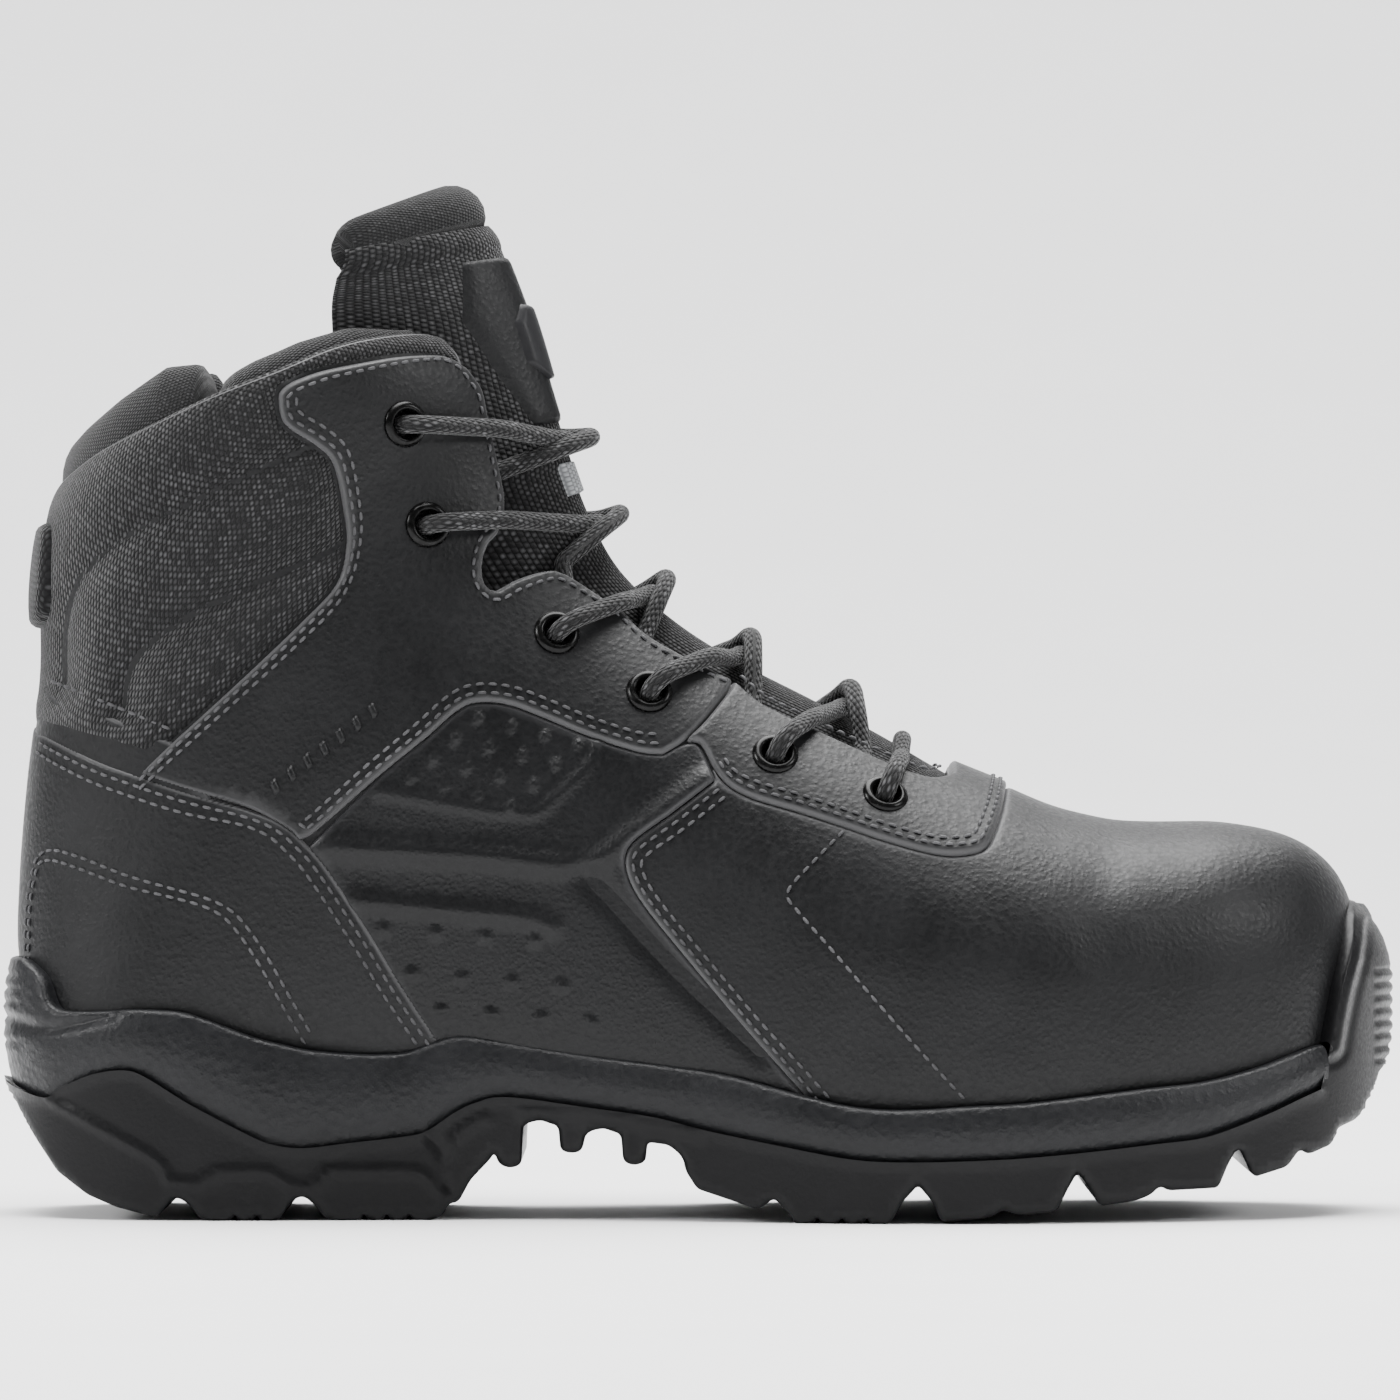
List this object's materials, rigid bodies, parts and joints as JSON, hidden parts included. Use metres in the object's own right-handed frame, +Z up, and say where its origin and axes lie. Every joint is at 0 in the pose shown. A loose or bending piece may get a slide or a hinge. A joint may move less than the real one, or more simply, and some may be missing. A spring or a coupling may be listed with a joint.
{
  "type": "steel toe work boot",
  "caption": "Right-foot lace-up black leather safety boot, about 15 cm shaft, with padded fabric collar and tongue, a cushioned midsole and a lugged rubber outsole.",
  "frame": {"origin": "middle of the bounding box's bottom face, at floor level under the outsole", "axes": "+X from heel to toe, +Y to the inner (medial) side of the foot, +Z up"},
  "size_m": [0.315, 0.1134, 0.2334],
  "materials": {
    "leather": "satin",
    "cordura": "matte",
    "twill": "matte",
    "lining": "matte",
    "foam": "matte",
    "outsole_rubber": "satin",
    "midsole_foam": "matte",
    "board": "matte",
    "toe_cap_steel": "satin",
    "eyelet_paint": "gloss",
    "lace_braid": "matte",
    "webbing": "matte",
    "plastic": "satin"
  },
  "bodies": {
    "root": {"outsole": "outsole_rubber", "midsole": "midsole_foam", "shank": "toe_cap_steel", "vamp": "leather", "throat_overlay": "leather", "heel_overlay": "leather", "back_stay": "leather", "insole_board": "board", "steel_toe_cap": "toe_cap_steel", "toe_cap_gasket": "foam", "heel_counter": "board", "vamp_lining": "lining", "achilles_pad": "twill", "heel_tab": "twill", "lace": "lace_braid", "side_panel_lateral": "leather", "quarter_lateral": "leather", "collar_panel_lateral": "cordura", "quarter_lining_lateral": "lining", "collar_padding_lateral": "foam", "collar_roll_lateral": "twill", "tongue_gusset_lateral": "cordura", "aglet_lateral": "plastic", "eyelet_lateral_1": "eyelet_paint", "eyelet_lateral_2": "eyelet_paint", "eyelet_lateral_3": "eyelet_paint", "eyelet_lateral_4": "eyelet_paint", "eyelet_lateral_5": "eyelet_paint", "eyelet_lateral_6": "eyelet_paint", "side_panel_medial": "leather", "quarter_medial": "leather", "collar_panel_medial": "cordura", "quarter_lining_medial": "lining", "collar_padding_medial": "foam", "collar_roll_medial": "twill", "tongue_gusset_medial": "cordura", "aglet_medial": "plastic", "eyelet_medial_1": "eyelet_paint", "eyelet_medial_2": "eyelet_paint", "eyelet_medial_3": "eyelet_paint", "eyelet_medial_4": "eyelet_paint", "eyelet_medial_5": "eyelet_paint", "eyelet_medial_6": "eyelet_paint"},
    "tongue": {"tongue_face": "cordura", "tongue_padding": "foam", "tongue_lining": "lining", "tongue_patch": "leather", "tongue_badge": "plastic", "lace_keeper": "webbing", "tongue_top_roll": "twill"},
    "footbed": {"footbed": "lining"}
  },
  "joints": [
    {"name": "tongue_tilt", "type": "hinge", "parent": "root", "child": "tongue", "pos_m": [0.06, 0, 0.097], "axis": [0, -1, 0], "range_deg": [0, 8]},
    {"name": "footbed_lift", "type": "hinge", "parent": "root", "child": "footbed", "pos_m": [0.1427, 0, 0.046], "axis": [0, 1, 0], "range_deg": [0, 5]}
  ]
}
